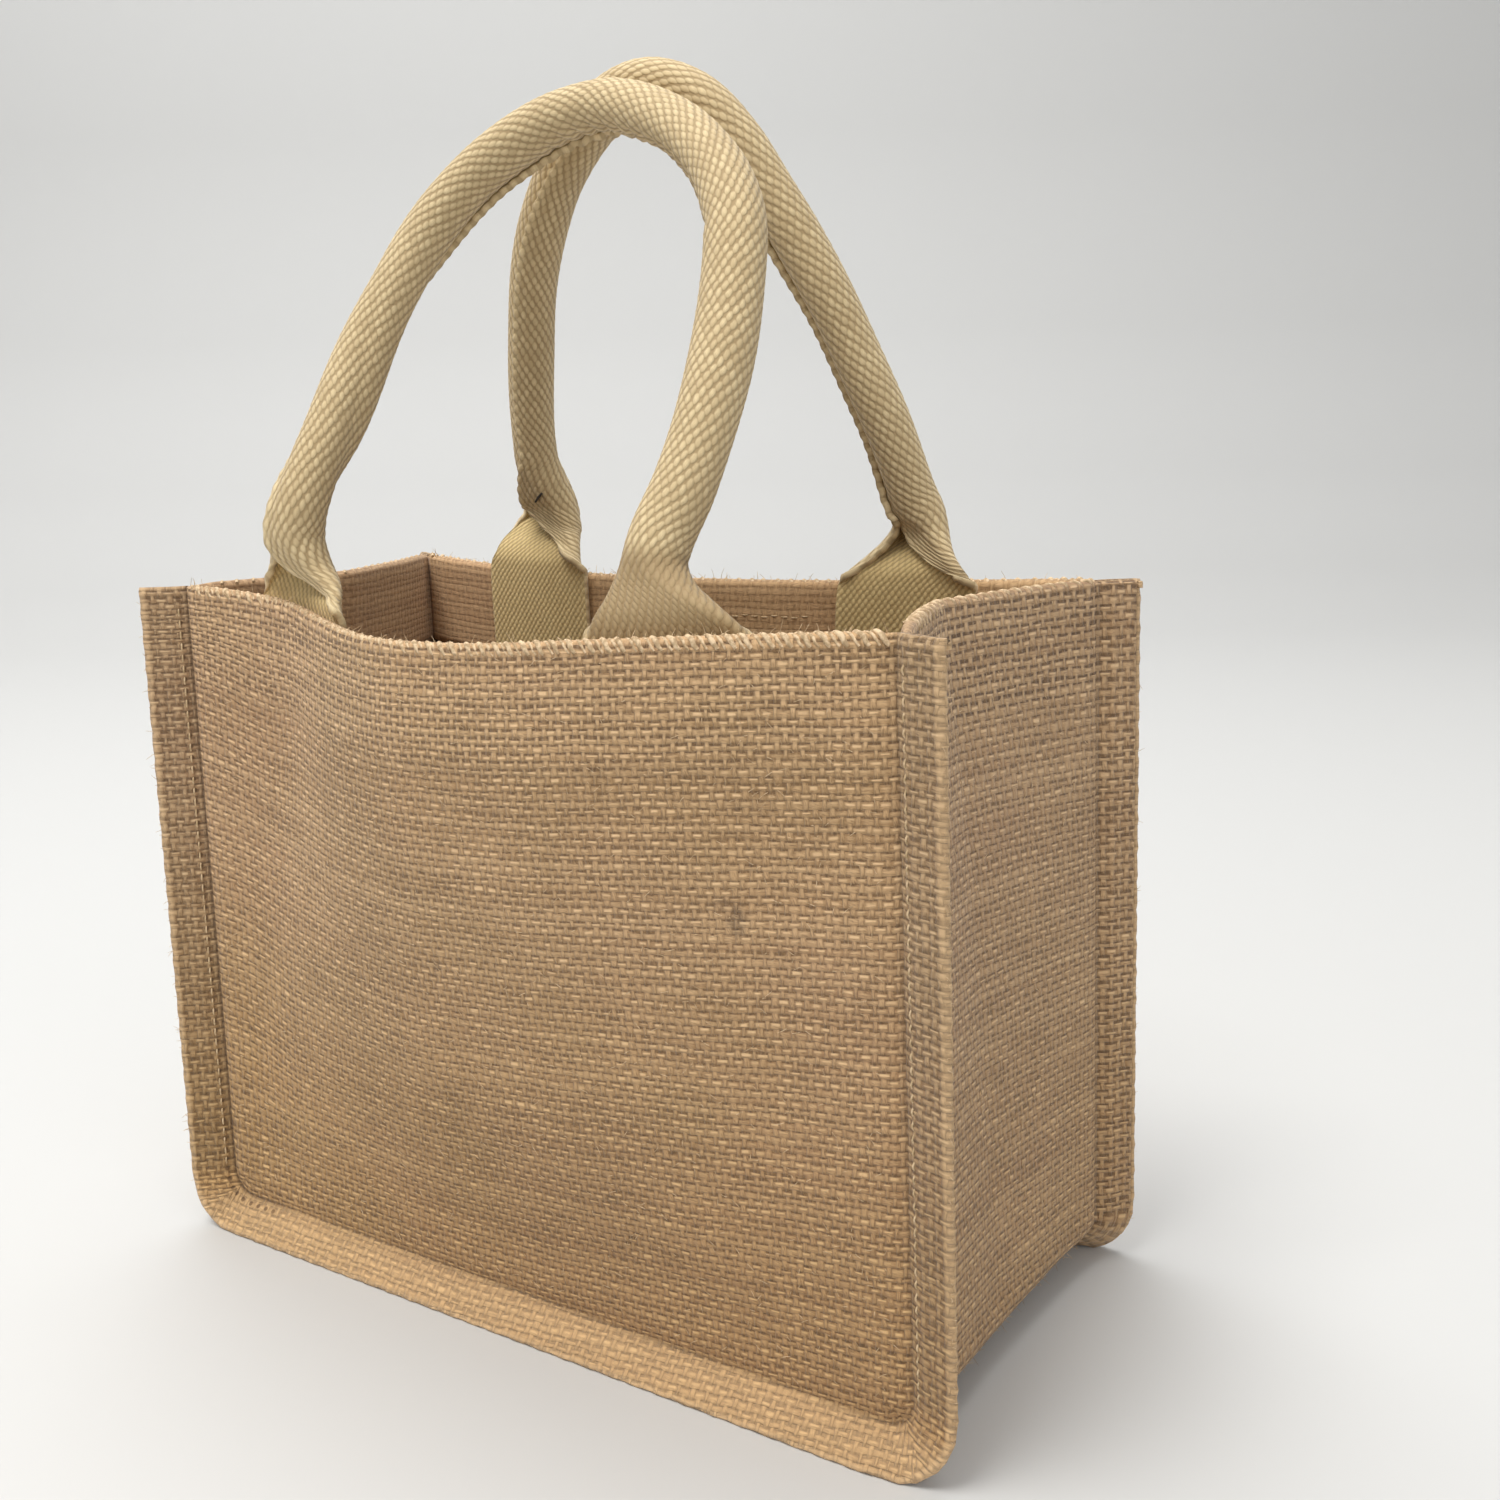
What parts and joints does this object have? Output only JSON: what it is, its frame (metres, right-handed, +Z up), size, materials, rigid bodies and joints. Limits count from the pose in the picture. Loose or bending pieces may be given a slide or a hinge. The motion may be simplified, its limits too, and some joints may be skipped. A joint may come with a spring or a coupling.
{
  "type": "jute hessian tote bag with padded cotton webbing handles",
  "caption": "Small open-topped boxed tote bag of plain woven jute with standing flange seams, a folded hem at the mouth and padded rolled webbing handles, standing empty.",
  "frame": {"origin": "middle of the bounding box at the height of the surface that the bag stands on", "axes": "+Z up out of the mouth, X along the wide front and back panels with +X to the right as seen from the front, the front panel faces -Y"},
  "size_m": [0.2462, 0.1331, 0.3156],
  "materials": {
    "jute": "matt open plain weave of coarse jute yarn, laminated on the inside",
    "side_jute": "matt open plain weave of coarse jute yarn, a little pinker, laminated on the inside",
    "webbing": "matt ribbed cotton webbing rolled round a soft cord"
  },
  "bodies": {
    "root": {"front_panel": "jute", "back_panel": "jute", "gusset": "side_jute", "handle_front": "webbing", "handle_back": "webbing"}
  },
  "joints": []
}
